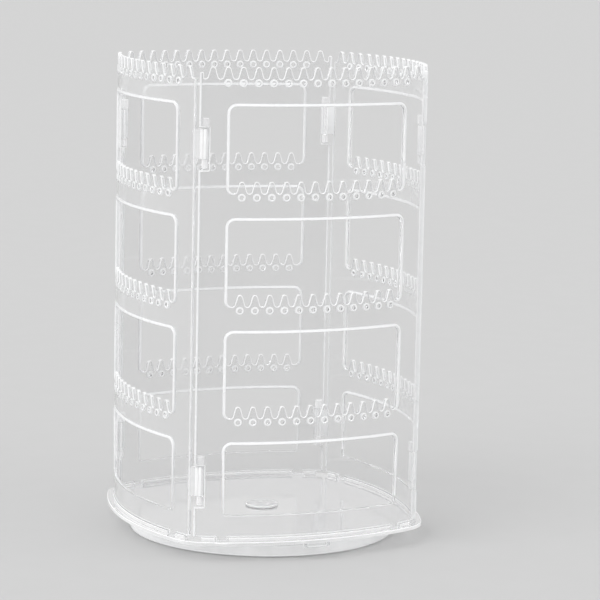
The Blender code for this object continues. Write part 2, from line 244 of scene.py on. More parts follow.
# Rounds of the tray's walls against a panel's, and the bead of the grip loop
RIM_ROUND = 0.7
CURB_ROUND = 0.6
HUB_ROUND = 0.5
SLOT_WALL_ROUND = 0.4
GRIP_BEAD = 0.1

# Brightness of the studio at heights given as the sine of the elevation
STUDIO = ((0.10, 0.66), (0.34, 0.78), (0.62, 0.78), (0.95, 0.70))

# Brightness of the ground, and half its side
GROUND_TONE = 0.58
GROUND_HALF = 40.0

# Camera of the photograph: where it aims, its distance from there, its direction and its lens
CAMERA_AIM = Vector((17.51, -7.15, 127.2)) * MM
CAMERA_DISTANCE = 1.4197
CAMERA_LEFT_OF_FRONT = radians(22.216)
CAMERA_HEIGHT = radians(8.678)
CAMERA_ROLL = radians(1.2)
CAMERA_SENSOR = 36
CAMERA_LENS = 155.33


# Outlines


def polar(radius, angle):
    return radius * Vector((cos(angle), sin(angle)))


def arc(centre, radius, first, last, steps):
    return [Vector(centre) + polar(radius, first + (last - first) * i / steps) for i in range(steps + 1)]


def circle(centre, radius, sides):
    return arc(centre, radius, 0, 2 * pi, sides)[:-1]


def mirrored(points):
    """A run of points mirrored left to right and turned about, so that an outline can go on with it."""
    return [Vector((-p.x, p.y)) for p in reversed(points)]


def box(left, right, low, high):
    """Corners of an upright box, anticlockwise."""
    return [(left, low), (right, low), (right, high), (left, high)]


def stretches(start, end, step):
    """How many stretches no longer than step lead from one point to the next."""
    return max(1, ceil((end - start).length / step - TINY))


def evenly(points, step):
    """A closed outline with points added so that none are further apart than step."""
    out = []
    for a, b in zip(points, points[1:] + points[:1]):
        count = stretches(a, b, step)
        out += [a.lerp(b, i / count) for i in range(count)]
    return out


def between(low, high, step):
    """Evenly spaced numbers inside a span, no further apart than step."""
    count = ceil((high - low) / step)
    return [low + (high - low) * i / count for i in range(1, count)]


def rounded(points, radii, steps=5):
    """A closed outline with each corner cut to an arc of its own radius."""
    out = []
    points = [Vector(p) for p in points]
    for i, corner in enumerate(points):
        before = (points[i - 1] - corner).normalized()
        after = (points[(i + 1) % len(points)] - corner).normalized()
        half = before.angle(after) / 2
        if radii[i] <= 0 or half > NEARLY_STRAIGHT:
            out.append(corner)
            continue
        reach = radii[i] / tan(half)
        start, end = corner + before * reach, corner + after * reach
        middle = corner + (before + after).normalized() * (radii[i] / sin(half))
        first = atan2(start.y - middle.y, start.x - middle.x)
        turn = (atan2(end.y - middle.y, end.x - middle.x) - first + pi) % (2 * pi) - pi
        out += arc(middle, radii[i], first, first + turn, steps)
    return out


def row_height(tier):
    """Height of a row of holes over the panel's lower edge."""
    return LOWEST_ROW + tier * TIER


def tooth_row(count, valley, crown_steps=7, valley_steps=4):
    """A row of hook teeth, valley to valley: round crowns and valleys joined by straight flanks."""
    rise = TOOTH_HEIGHT - CROWN_RADIUS - VALLEY_RADIUS
    flank = atan2(rise, PITCH / 2) + asin((CROWN_RADIUS + VALLEY_RADIUS) / sqrt(rise**2 + PITCH**2 / 4))
    low, high = valley + VALLEY_RADIUS, valley + TOOTH_HEIGHT - CROWN_RADIUS
    points = []
    for i in range(count):
        x = (i - count / 2) * PITCH
        points += arc((x, low), VALLEY_RADIUS, -QUARTER, flank - QUARTER, valley_steps)
        points += arc((x + PITCH / 2, high), CROWN_RADIUS, flank + QUARTER, QUARTER - flank, crown_steps)
        points += arc((x + PITCH, low), VALLEY_RADIUS, -flank - QUARTER, -QUARTER, valley_steps)[:-1]
    return points + [Vector((count / 2 * PITCH, valley))]


def window_corners(tier):
    """A window's outline anticlockwise from its left side, as points and their share of the bead."""
    if tier == 0:
        centre = (SILL_RADIUS - WINDOW_HALF_WIDTH, WINDOW_SILL + SILL_RADIUS)
        corner = arc(centre, SILL_RADIUS, pi, pi + QUARTER, 3)
        outline = [(p, 0) for p in corner + mirrored(corner)]
    else:
        row = tooth_row(TEETH_PER_TIER[tier - 1], row_height(tier - 1) + VALLEY_OVER_HOLE)
        bend = row[0].x + WINDOW_HALF_WIDTH
        corner = arc((row[0].x, row[0].y + bend), bend, pi, pi + QUARTER, 6)[:-1]
        beads = [1 - BEAD_FADE * i for i in range(len(corner))]
        outline = list(zip(corner, beads)) + [(p, 0) for p in row]
        outline += zip(mirrored(corner), reversed(beads))
    head_y = row_height(tier) - WINDOW_UNDER_ROW - WINDOW_RADIUS
    head = arc((WINDOW_HALF_WIDTH - WINDOW_RADIUS, head_y), WINDOW_RADIUS, 0, QUARTER, 8)
    return outline + [(p, 1) for p in head + mirrored(head)]


def window_outline(tier):
    """A window's edge in short steps, and how much bead each point of it carries."""
    corners = window_corners(tier)
    points, beads = [], []
    for (a, bead_a), (b, bead_b) in zip(corners, corners[1:] + corners[:1]):
        count = stretches(a, b, STEP)
        for i in range(count):
            points.append(a.lerp(b, i / count))
            beads.append(max(0, bead_a + (bead_b - bead_a) * i / count))
    return points, beads


def panel_outline():
    """The edge of the flat panel, anticlockwise from the foot of its left side."""
    left, right = LEFT_SETBACK - HALF_ARC, HALF_ARC - RIGHT_SETBACK
    corners = [(left, 0, SMALL_ROUND)]
    for centre in (-TAB_CENTRE, TAB_CENTRE):
        near, far = centre - TAB_HALF_WIDTH, centre + TAB_HALF_WIDTH
        corners += [(near, 0, SMALL_ROUND), (near, -TAB_DEPTH, TAB_ROUND)]
        corners += [(far, -TAB_DEPTH, TAB_ROUND), (far, 0, SMALL_ROUND)]
    row = tooth_row(TEETH_PER_TIER[TOP_TIER] + 2 * END_TEETH, row_height(TOP_TIER) + VALLEY_OVER_HOLE)
    corners += [(right, 0, SMALL_ROUND), (right, row[-1].y, RIGHT_ROUND)]
    corners += [(p.x, p.y, 0) for p in reversed(row)]
    strip = left + CORNER_STRIP
    corners += [(strip, row[0].y, SMALL_ROUND), (strip, PANEL_HEIGHT, STRIP_ROUND)]
    corners.append((left, PANEL_HEIGHT, STRIP_ROUND))
    inner = NOTCH_WIDTH - HALF_ARC
    for hinge_top in reversed(HINGE_TOPS):
        lug_foot = hinge_top - LUG_HEIGHT
        high = lug_foot + NOTCH_MARGIN
        low = lug_foot - BARREL_HEIGHT - 2 * GAP - PIN_FOOT_HEIGHT - NOTCH_MARGIN
        corners += [(left, high, SMALL_ROUND), (inner, high, NOTCH_ROUND)]
        corners += [(inner, low, NOTCH_ROUND), (left, low, SMALL_ROUND)]
    points = [(x, y) for x, y, _ in corners]
    return evenly(rounded(points, [radius for _, _, radius in corners], 4), STEP)


def bowed_square(offset, corner_radius, side_steps=48, corner_steps=16):
    """The tower's plan moved outward by offset, with rounded corners."""
    radius = ARC_RADIUS + offset
    reach = radius - corner_radius
    along = (sqrt(4 * reach**2 - 2 * ARC_CENTRE**2) - sqrt(2) * ARC_CENTRE) / 2
    half = along / sqrt(2)
    limit = atan2(half, half + ARC_CENTRE)
    side = arc((0, ARC_CENTRE), radius, limit - QUARTER, -limit - QUARTER, side_steps)[::-1]
    corner = arc((half, -half), corner_radius, limit - QUARTER, -limit, corner_steps)[1:-1]
    points = []
    for turn in range(4):
        spin = Matrix.Rotation(turn * QUARTER, 2)
        points += [spin @ p for p in side + corner]
    return points


# Meshes


class Shell:
    """The vertices and faces of a piece in the making, with each face's material slot."""

    def __init__(self):
        self.verts = []
        self.faces = []
        self.slots = []

    def add(self, face, slot=0):
        self.faces.append(face)
        self.slots.append(slot)


def new_piece(name, shell):
    mesh = bpy.data.meshes.new(name)
    mesh.from_pydata(shell.verts, [], shell.faces)
    mesh.validate()
    mesh.polygons.foreach_set("material_index", shell.slots)
    mesh.shade_smooth()
    mesh.set_sharp_from_angle(angle=SHARP)
    obj = bpy.data.objects.new(name, mesh)
    bpy.context.collection.objects.link(obj)
    return obj


def joined(name, pieces):
    """Several separate closed shapes as one piece."""
    shell = Shell()
    for piece in pieces:
        start = len(shell.verts)
        shell.verts += [v.co for v in piece.data.vertices]
        for polygon in piece.data.polygons:
            shell.add([start + i for i in polygon.vertices], polygon.material_index)
    out = new_piece(name, shell)
    for piece in pieces:
        bpy.data.objects.remove(piece)
    return out


def paint(piece, finishes):
    for finish in finishes:
        piece.data.materials.append(finish)


def flat(x, y, z):
    return Vector((x, y, z))


def bent(along, height, depth):
    """A point of the flat panel sheet on the front panel's arc, depth running inward."""
    angle, radius = along / ARC_RADIUS, ARC_RADIUS - depth
    return Vector((radius * sin(angle), ARC_CENTRE - radius * cos(angle), height))


def both_halves(half, thickness):
    """The rings of a wall from front to back, given those from its front to its middle."""
    return half + [(inset, thickness - depth) for inset, depth in reversed(half)]


def edge_profile(thickness, bead=0.0, scale=1.0):
    """Rings of an outer edge as (inset, depth)."""
    half = []
    for inset, depth, wide, lift in EDGE_RINGS:
        half.append((ROUND * scale * inset + wide * bead * MM, ROUND * scale * depth - lift * bead * MM))
    return both_halves(half, thickness)


def hole_profile(thickness):
    return both_halves([(inset * MM, depth * MM) for inset, depth in HOLE_RINGS], thickness)


def barrel_profile():
    quarter = BARREL_EASE / 4
    return both_halves([(BARREL_EASE, 0), (quarter, quarter), (0, BARREL_EASE)], BARREL_HEIGHT)


def even_loop(points, profile, finish=BRIGHT):
    """A loop with the same wall at every point."""
    return points, [profile] * len(points), [finish] * len(points)


def into_material(points, hole):
    """Unit directions from a loop's points into the sheet, for an anticlockwise loop."""
    out = []
    for i, point in enumerate(points):
        before = (point - points[i - 1]).normalized()
        after = (points[(i + 1) % len(points)] - point).normalized()
        tangent = (before + after).normalized()
        normal = Vector((-tangent.y, tangent.x))
        out.append(-normal if hole else normal)
    return out


def add_wall(shell, loop, hole, place, low):
    """The wall round one loop of a sheet.

    Returns the flat points of its first ring, and where its first and its last ring start.
    """
    points, profiles, finishes = loop
    normals = into_material(points, hole)
    count, rings = len(points), len(profiles[0])
    start = len(shell.verts)
    for ring in range(rings):
        for point, normal, profile in zip(points, normals, profiles):
            inset, depth = profile[ring]
            at = point + normal * inset
            shell.verts.append(place(at.x, at.y, low + depth))
    for ring in range(rings - 1):
        on_face, in_middle = ring in (0, rings - 2), 2 * ring == rings - 2
        row = start + ring * count
        for j in range(count):
            a, b = row + j, row + (j + 1) % count
            quad = (a, b, b + count, a + count)
            shell.add(quad if hole else quad[::-1], 0 if on_face else finishes[j][in_middle])
    rim = [point + normal * profile[0][0] for point, normal, profile in zip(points, normals, profiles)]
    return rim, start, start + (rings - 1) * count


def add_faces(shell, points, loops, rims, depths, place):
    """The front and the back face of a sheet, as triangles between the rims of its walls.

    For each face, rims has the vertices that stand at the rims' points already.
    """
    corners, _, triangles, sources, _, within = delaunay_2d_cdt(points, [], loops, 1, CDT_EPSILON)
    sides = [(rim, {}, depth) for rim, depth in zip(rims, depths)]
    for triangle, regions in zip(triangles, within):
        if list(regions) != [0]:
            continue
        for is_back, (rim, vertex, depth) in enumerate(sides):
            for c in triangle:
                if c in vertex:
                    continue
                known = [rim[s] for s in sources[c] if s in rim]
                if not known:
                    known = [len(shell.verts)]
                    shell.verts.append(place(corners[c].x, corners[c].y, depth))
                vertex[c] = known[0]
            face = [vertex[c] for c in triangle]
            shell.add(face[::-1] if is_back else face)


def sheet(name, loops, thickness, place, low=0.0, grid=()):
    """A sheet inside the first loop and outside the others, with rounded walls, carried into place.

    A loop is its points, and the ring profile and the finish of the wall at each of them. The grid
    is more points for the triangles of the two faces.
    """
    shell = Shell()
    points, flat_loops = [], []
    front, back = {}, {}
    for i, loop in enumerate(loops):
        rim, front_start, back_start = add_wall(shell, loop, i > 0, place, low)
        ids = range(len(points), len(points) + len(rim))
        flat_loops.append(list(ids))
        for j, point_id in enumerate(ids):
            front[point_id], back[point_id] = front_start + j, back_start + j
        points += rim
    add_faces(shell, points + list(grid), flat_loops, (front, back), (low, low + thickness), place)
    return new_piece(name, shell)


def turned(name, profile, segments, centre=(0, 0), closed=False, outlined=0.0):
    """A profile of (radius, height) turned about a vertical axis, with ends on the axis closed.

    Bands narrower than outlined, which are its rounded corners, take the second material.
    """
    shell = Shell()
    turns = [2 * pi * i / segments for i in range(segments)]
    rows = []
    for radius, height in profile:
        first = len(shell.verts)
        for turn in turns[:1] if radius < TINY else turns:
            x, y = centre[0] + radius * cos(turn), centre[1] + radius * sin(turn)
            shell.verts.append(Vector((x, y, height)))
        rows.append(range(first, len(shell.verts)))
    ends = [Vector(p) for p in profile]
    for k in range(len(rows) if closed else len(rows) - 1):
        after = (k + 1) % len(rows)
        upper, lower = rows[k], rows[after]
        narrow = (ends[after] - ends[k]).length < outlined
        for i in range(segments):
            j = (i + 1) % segments
            down = (upper[i % len(upper)], lower[i % len(lower)])
            up = (lower[j % len(lower)], upper[j % len(upper)])
            face = list(dict.fromkeys(down + up))
            if len(face) > 2:
                shell.add(face, int(narrow))
    return new_piece(name, shell)


def eased(profile, radius, steps=3):
    """A turned profile with its corners rounded, apart from its ends and those on the axis."""
    out = []
    points = [Vector(p) for p in profile]
    for i, p in enumerate(points):
        if i in (0, len(points) - 1) or p.x < TINY:
            out.append(p)
            continue
        before, after = points[i - 1] - p, points[i + 1] - p
        reach = min(radius, EASE_SHARE * before.length, EASE_SHARE * after.length)
        a, b = p + before.normalized() * reach, p + after.normalized() * reach
        for k in range(steps + 1):
            t = k / steps
            out.append((1 - t) ** 2 * a + 2 * t * (1 - t) * p + t * t * b)
    return [(p.x, p.y) for p in out]


# Materials


class Nodes:
    """Short ways to add shader nodes to one material."""

    def __init__(self, name):
        self.material = bpy.data.materials.new(name)
        self.material.use_nodes = True
        self.tree = self.material.node_tree
        self.tree.nodes.clear()
        self.out = self.add("ShaderNodeOutputMaterial")
        self.place = self.add("ShaderNodeTexCoord").outputs["Object"]

    def add(self, kind, **values):
        node = self.tree.nodes.new(kind)
        for key, value in values.items():
            if isinstance(value, bpy.types.NodeSocket):
                self.tree.links.new(value, node.inputs[key])
            elif key in node.inputs:
                node.inputs[key].default_value = value
            else:
                setattr(node, key, value)
        return node

    def link(self, source, target):
        self.tree.links.new(source, target)

    def noise(self, scale, detail, stretch=None, rough=0.5):
        vector = self.place
        if stretch:
            mapping = self.add("ShaderNodeMapping", Vector=vector)
            mapping.inputs["Scale"].default_value = stretch
            vector = mapping.outputs["Vector"]
        node = self.add("ShaderNodeTexNoise", Vector=vector, Scale=scale, Detail=detail, Roughness=rough)
        return node.outputs["Fac"]

    def span(self, value, low, high, from_low=0.3, from_high=0.7):
        node = self.add("ShaderNodeMapRange", Value=value)
        node.inputs["From Min"].default_value = from_low
        node.inputs["From Max"].default_value = from_high
        node.inputs["To Min"].default_value = low
        node.inputs["To Max"].default_value = high
        return node.outputs["Result"]

    def blend(self, fac, low, high):
        node = self.add("ShaderNodeMix", data_type="RGBA")
        self.link(fac, node.inputs[0])
        node.inputs[6].default_value = (*low, 1)
        node.inputs[7].default_value = (*high, 1)
        return node.outputs[2]

    def mix(self, fac, first, second):
        node = self.add("ShaderNodeMixShader")
        for socket, source in zip(node.inputs, (fac, first.outputs[0], second.outputs[0])):
            self.link(source, socket)
        return node

    def maths(self, operation, a, b):
        node = self.add("ShaderNodeMath", operation=operation)
        for socket, value in zip(node.inputs, (a, b)):
            if isinstance(value, bpy.types.NodeSocket):
                self.link(value, socket)
            else:
                socket.default_value = value
        return node.outputs[0]

    def bump(self, height, strength, distance):
        node = self.add("ShaderNodeBump", Strength=strength, Distance=distance, Height=height)
        return node.outputs["Normal"]

    def finished(self, shader):
        self.link(shader.outputs[0], self.out.inputs["Surface"])
        return self.material


def clear_face(name, tint, haze_and_sheen=(0.04, 0.22), rough=(0.01, 0.06), shade=None):
    """Polished clear polystyrene: moulded waviness, faint flow lines and handling haze.

    Haze is the share of light scattered face on and at a slant: face on it is handling haze, and the rise
    at a slant is a painted sheen standing in for grazing reflections of the bright studio. Shade is the
    share that goes on into shadows, where the tint doesn't say it.
    """
    n = Nodes(name)
    cloud = n.span(n.noise(scale=14, detail=2), 0, 1)
    colour = n.blend(cloud, tuple(c - 0.02 for c in tint), tint)
    dull = n.span(n.noise(scale=60, detail=5, rough=0.65), *rough, from_low=0.35, from_high=0.75)
    ripple = n.maths("MULTIPLY", n.noise(scale=30, detail=1), 0.6)
    flow_lines = n.maths("MULTIPLY", n.noise(scale=900, detail=2, stretch=(1, 1, 0.06)), 0.02)
    # The rise in scatter at a slant is painted sheen, on top of the handling haze face on
    slant = n.add("ShaderNodeLayerWeight", Blend=0.5).outputs["Facing"]
    haze_sheen_share = n.span(slant, *haze_and_sheen, from_low=0.05, from_high=0.8)
    haze_sheen_share = n.maths("MULTIPLY", haze_sheen_share, n.span(n.noise(scale=35, detail=4), 0.8, 1.2))
    glass = n.add("ShaderNodeBsdfPrincipled", Roughness=dull, IOR=1.59)
    n.link(n.maths("SUBTRACT", 1.0, haze_sheen_share), glass.inputs["Transmission Weight"])
    n.link(colour, glass.inputs["Base Color"])
    relief = n.maths("ADD", ripple, flow_lines)
    n.link(n.bump(relief, strength=0.12, distance=0.6 * MM), glass.inputs["Normal"])
    passing = n.add("ShaderNodeBsdfTransparent")
    if shade:
        passing.inputs["Color"].default_value = (shade, shade, shade, 1)
    else:
        n.link(colour, passing.inputs["Color"])
    path = n.add("ShaderNodeLightPath")
    scattered = n.maths("MAXIMUM", path.outputs["Is Shadow Ray"], path.outputs["Is Diffuse Ray"])
    return n.finished(n.mix(scattered, glass, passing))


def painted_highlight_edge(name, through):
    """Edges of the clear sheet, painted near white: a painted highlight that stands in for the light they
    catch and pipe.
    """
    n = Nodes(name)
    grain = n.noise(scale=220, detail=4)
    # The near-white tone is painted highlight, and the grain in it is the edge's own texture
    tone = n.blend(n.span(grain, 0, 1), (0.89, 0.895, 0.9), (0.94, 0.945, 0.95))
    dull = n.span(n.noise(scale=25, detail=2), 0.12, 0.3)
    body = n.add("ShaderNodeBsdfPrincipled", Roughness=dull, IOR=1.5)
    body.inputs["Transmission Weight"].default_value = through
    n.link(tone, body.inputs["Base Color"])
    n.link(n.bump(grain, strength=0.15, distance=0.2 * MM), body.inputs["Normal"])
    # Seen from inside the plastic the edge shows plain white diffuse, which is painted highlight too
    inside = n.add("ShaderNodeBsdfDiffuse", Color=tone)
    backfacing = n.add("ShaderNodeNewGeometry").outputs["Backfacing"]
    return n.finished(n.mix(backfacing, body, inside))


def panel_plastic():
    return clear_face("clear_sheet", (0.95, 0.95, 0.952))


def frosted_plastic():
    """Hinges and the middle of the tray's walls, which scatter most of the light and show near white, in
    part a painted highlight for the light they catch.
    """
    return clear_face("clear_hinge", (0.97, 0.97, 0.975), haze_and_sheen=(0.45, 1.0), rough=(0.03, 0.1), shade=0.97)


def tray_plastic():
    return clear_face("clear_tray", (0.86, 0.865, 0.87), haze_and_sheen=(0.06, 0.12), rough=(0.08, 0.2), shade=0.96)


def cap_plastic():
    return clear_face("clear_cap", (0.96, 0.96, 0.965), haze_and_sheen=(0.12, 0.4), rough=(0.05, 0.12), shade=0.95)


def base_plastic():
    return clear_face("clear_base", (0.9, 0.905, 0.91), haze_and_sheen=(0.15, 0.45), rough=(0.1, 0.25), shade=0.97)


def base_side_plastic():
    return clear_face("clear_base_side", (0.95, 0.955, 0.96), haze_and_sheen=(0.6, 0.9), rough=(0.1, 0.25), shade=0.6)


def pad_rubber():
    n = Nodes("pad_rubber")
    grain = n.noise(scale=500, detail=3)
    colour = n.blend(n.span(grain, 0, 1), (0.62, 0.63, 0.64), (0.70, 0.71, 0.72))
    body = n.add("ShaderNodeBsdfPrincipled", Roughness=0.55)
    body.inputs["Transmission Weight"].default_value = 0.3
    n.link(colour, body.inputs["Base Color"])
    n.link(n.bump(grain, strength=0.3, distance=0.1 * MM), body.inputs["Normal"])
    return n.finished(body)


# Panels


def row_finish(point, tier):
    """A row of teeth: fine flanks and valleys, and crowns with painted highlight."""
    crown_foot = row_height(tier) + VALLEY_OVER_HOLE + TOOTH_HEIGHT - CROWN_DEPTH
    return BRIGHT if point.y > crown_foot else FINE


def rim_finish(point):
    """The panel's own rim: sides with painted highlight, finer tabs, a toothed top, and a clear foot on the
    curb.
    """
    if abs(point.y) < GAP:
        return OUTLINED
    if point.y > row_height(TOP_TIER) and point.x > CORNER_STRIP - HALF_ARC:
        return row_finish(point, TOP_TIER)
    return FINE if point.y < 0 else BRIGHT


def window_finish(point, bead, tier):
    """A window's edge: fine along its bead, then the row of teeth below it or a veiled sill."""
    if bead:
        return FINE
    return row_finish(point, tier - 1) if tier else VEILED


def rim_loop():
    points = panel_outline()
    edge = LEFT_SETBACK - HALF_ARC + GAP
    beads = [LEFT_BEAD * (p.x < edge and p.y > 0) for p in points]
    return points, [edge_profile(WALL, bead) for bead in beads], [rim_finish(p) for p in points]


def window_loop(tier):
    points, beads = window_outline(tier)
    finishes = [window_finish(p, bead, tier) for p, bead in zip(points, beads)]
    return points, [edge_profile(WALL, bead) for bead in beads], finishes


def panel_sheet():
    """The front panel: one flat sheet with its windows, teeth and holes, bent to the arc."""
    loops = [rim_loop()] + [window_loop(tier) for tier in range(TOP_TIER + 1)]
    for tier, count in enumerate(TEETH_PER_TIER):
        for i in range(count):
            hole = circle(((i - (count - 1) / 2) * PITCH, row_height(tier)), HOLE_RADIUS, HOLE_SIDES)
            loops.append(even_loop(hole, hole_profile(WALL), OUTLINED))
    along = between(LEFT_SETBACK - HALF_ARC, HALF_ARC - RIGHT_SETBACK, GRID_ALONG)
    grid = [Vector((x, y)) for x in along for y in between(0, PANEL_HEIGHT, GRID_UP)]
    return sheet("panel", loops, WALL, lambda x, y, z: bent(x, y + PANEL_FOOT_Z, z), grid=grid)


def hinge_axis():
    return bent(HINGE_ALONG - HALF_ARC, 0, HINGE_DEPTH).xy


def hinge_pin(top):
    """A lug with the pin under it and the pin's thicker foot, which keeps the barrel on."""
    lug_foot = top - LUG_HEIGHT
    foot_top = lug_foot - BARREL_HEIGHT - 2 * GAP
    foot = foot_top - PIN_FOOT_HEIGHT
    profile = [
        (0, top), (BARREL_RADIUS, top), (BARREL_RADIUS, lug_foot), (PIN_RADIUS, lug_foot),
        (PIN_RADIUS, foot_top), (PIN_FOOT_RADIUS, foot_top), (PIN_FOOT_RADIUS, foot + PIN_EASE),
        (PIN_POINT_RADIUS, foot), (0, foot),
    ]
    profile = [(r, z + PANEL_FOOT_Z) for r, z in eased(profile, PIN_EASE)]
    return turned("pin", profile, PIN_SEGMENTS, hinge_axis(), outlined=PIN_OUTLINE)


def barrel(top):
    """A snap barrel round the next panel's pin, open to the inside, on an arm from the sheet."""
    centre = Matrix.Rotation(QUARTER, 2) @ hinge_axis()
    root = HALF_ARC - RIGHT_SETBACK - ARM_ROOT
    roots = [bent(root, 0, depth).xy for depth in (ARM_INSET, WALL - ARM_INSET)]
    to_root = (roots[0] + roots[1]) / 2 - centre
    inward = atan2(-centre.y, -centre.x)
    first = (inward + BARREL_MOUTH / 2) % (2 * pi)
    last = first + 2 * pi - BARREL_MOUTH
    arm = atan2(to_root.y, to_root.x) % (2 * pi)
    arm += 2 * pi * (arm < first)
    rear = arc(centre, BARREL_RADIUS, first, arm - ARM_HALF_SPREAD, BARREL_STEPS)
    front = arc(centre, BARREL_RADIUS, arm + ARM_HALF_SPREAD, last, BARREL_STEPS)
    bore = arc(centre, PIN_RADIUS + GAP, last, first, 2 * BARREL_STEPS)
    near_rear, near_front = sorted(roots, key=lambda p: (p - rear[-1]).length)
    flank = [near_front, near_front.lerp(front[0], ARM_FLANK)]
    outline = rear + [near_rear] + flank + front + bore
    # Clear ribs among the facets of veiled painted highlight, so that the barrel doesn't show as one white
    # block
    ribs = [CLEAR if i % 3 == 1 else VEILED for i in range(len(front))]
    finishes = [BRIGHT] * len(rear) + [CLEAR, CLEAR, VEILED] + ribs + [VEILED] * len(bore)
    loop = (outline, [barrel_profile()] * len(outline), finishes)
    low = PANEL_FOOT_Z + top - LUG_HEIGHT - GAP - BARREL_HEIGHT
    return sheet("barrel", [loop], BARREL_HEIGHT, flat, low=low)


def make_panels(sheet_finishes, hinge_finishes):
    model = panel_sheet()
    hardware = joined("hinges", [shape(top) for top in HINGE_TOPS for shape in (hinge_pin, barrel)])
    kinds = ((model, "_sheet", sheet_finishes), (hardware, "_hinges", hinge_finishes))
    for turn, name in enumerate(SIDES):
        for source, ending, finishes in kinds:
            piece = bpy.data.objects.new(name + ending, source.data.copy())
            bpy.context.collection.objects.link(piece)
            piece.data.transform(Matrix.Rotation(turn * QUARTER, 4, "Z"))
            paint(piece, finishes)
            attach(piece, "panel_ring")
            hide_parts(name)
    for spare in (model, hardware):
        bpy.data.objects.remove(spare)


# Tray


def tab_slot(centre, turn):
    """A slot for a panel's tab, anticlockwise, with the plan turned by quarters."""
    half = TAB_HALF_WIDTH + GAP
    corners = [bent(centre + along, 0, depth).xy for along, depth in box(-half, half, -GAP, WALL + GAP)]
    spin = Matrix.Rotation(turn * QUARTER, 2)
    return [spin @ p for p in rounded(corners, [SLOT_ROUND] * 4, 3)]


def tray_floor():
    rim = bowed_square(TRAY_OVERHANG, TRAY_CORNER_RADIUS)
    hub = circle((0, 0), POST_RADIUS + GAP, HUB_SEGMENTS)
    slots = [tab_slot(centre, turn) for turn in range(4) for centre in (-TAB_CENTRE, TAB_CENTRE)]
    loops = [even_loop(rim, edge_profile(TRAY_WALL, 0, RIM_ROUND), FINE)]
    loops += [even_loop(slot, edge_profile(TRAY_WALL, 0, SLOT_WALL_ROUND)) for slot in slots]
    loops.append(even_loop(hub, edge_profile(TRAY_WALL, 0, HUB_ROUND), OUTLINED))
    return sheet("turntable_tray_sheet", loops, TRAY_WALL, flat, low=TRAY_UNDER_Z)


def curb_strip(first, last, turn):
    """A stretch of the low wall that the panels stand on, between two places along the arc."""
    outer = (WALL - CURB_WIDTH) / 2
    count = max(2, ceil((last - first) / CURB_STEP))
    stations = [first + (last - first) * i / count for i in range(count + 1)]
    outline = [bent(s, 0, outer).xy for s in stations]
    outline += [bent(s, 0, outer + CURB_WIDTH).xy for s in reversed(stations)]
    low = TRAY_FLOOR_Z - CURB_SINK
    height = PANEL_FOOT_Z - GAP - low
    loop = even_loop(outline, edge_profile(height, 0, CURB_ROUND), FINE)
    strip = sheet("curb", [loop], height, flat, low=low)
    strip.data.transform(Matrix.Rotation(turn * QUARTER, 4, "Z"))
    return strip


def tray_curb():
    """The curb, left open round the tabs and at the corners."""
    clear_of_tab = TAB_HALF_WIDTH + 2 * GAP
    inner, outer = TAB_CENTRE - clear_of_tab, TAB_CENTRE + clear_of_tab
    spans = ((-inner, inner), (CURB_END - HALF_ARC, -outer), (outer, HALF_ARC - CURB_END))
    return joined("turntable_tray_curb", [curb_strip(*span, turn) for turn in range(4) for span in spans])


def grip_loop():
    """The slotted loop that hangs under the tray's front edge."""
    half = GRIP_WIDTH / 2
    outline = rounded(box(-half, half, GRIP_FOOT_Z, TRAY_FLOOR_Z - GAP), [GRIP_BEND] * 4, 8)
    half = GRIP_SLOT_WIDTH / 2
    low = GRIP_FOOT_Z + GRIP_BAR
    slot = rounded(box(-half, half, low, low + GRIP_SLOT_HEIGHT), [GRIP_SLOT_ROUND] * 4, 5)
    wall = edge_profile(GRIP_WALL, GRIP_BEAD, RIM_ROUND)
    loops = [even_loop(evenly(loop, GRIP_STEP), wall) for loop in (outline, slot)]
    return sheet("turntable_tray_grip", loops, GRIP_WALL, bent, low=GRIP_INSET - TRAY_OVERHANG)


def make_tray(face, edge, frosted):
    walled, plain = (face, edge, frosted), (face, edge)
    for piece, finishes in ((tray_floor(), walled), (tray_curb(), walled), (grip_loop(), plain)):
        paint(piece, finishes)
        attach(piece, "turntable")
        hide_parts("turntable_tray")


# Base


def base_dish():
    """The dish with its hollow post and the rib that carries the tray, open below."""
    under = BASE_TOP_Z - BASE_WALL
    shoulder = BASE_RADIUS - BASE_TAPER
    rib, rib_top = BASE_RADIUS - BEARING_INSET, TRAY_UNDER_Z - GAP
    profile = [
        (POST_BORE, under), (POST_BORE, TRAY_FLOOR_Z),
        (POST_RADIUS, TRAY_FLOOR_Z), (POST_RADIUS, BASE_TOP_Z),
        (rib, BASE_TOP_Z), (rib, rib_top),
        (rib + BEARING_WIDTH, rib_top), (rib + BEARING_WIDTH, BASE_TOP_Z),
        (shoulder - BASE_TOP_EASE, BASE_TOP_Z), (shoulder, BASE_TOP_Z - BASE_TOP_EASE),
        (BASE_RADIUS, BASE_FOOT_Z + BASE_BAND), (BASE_RADIUS, BASE_FOOT_Z),
        (BASE_RADIUS - BASE_WALL, BASE_FOOT_Z), (shoulder - BASE_WALL, under),
    ]
    profile = eased(profile, BASE_EASE)
    dish = turned("base_dish_shell", profile, BASE_SEGMENTS, closed=True, outlined=BASE_OUTLINE)
    for band in dish.data.polygons:
        # Slots: 2 for the painted highlight on the round of the foot, 1 for steep walls and 0 for the rest
        foot_round = band.material_index and band.center.z < BASE_FOOT_Z + MM
        band.material_index = 2 if foot_round else int(abs(band.normal.z) < 0.5)
    return dish


def foot_places():
    return [polar(BASE_RADIUS - FOOT_INSET, pi / 4 + i * QUARTER) for i in range(4)]


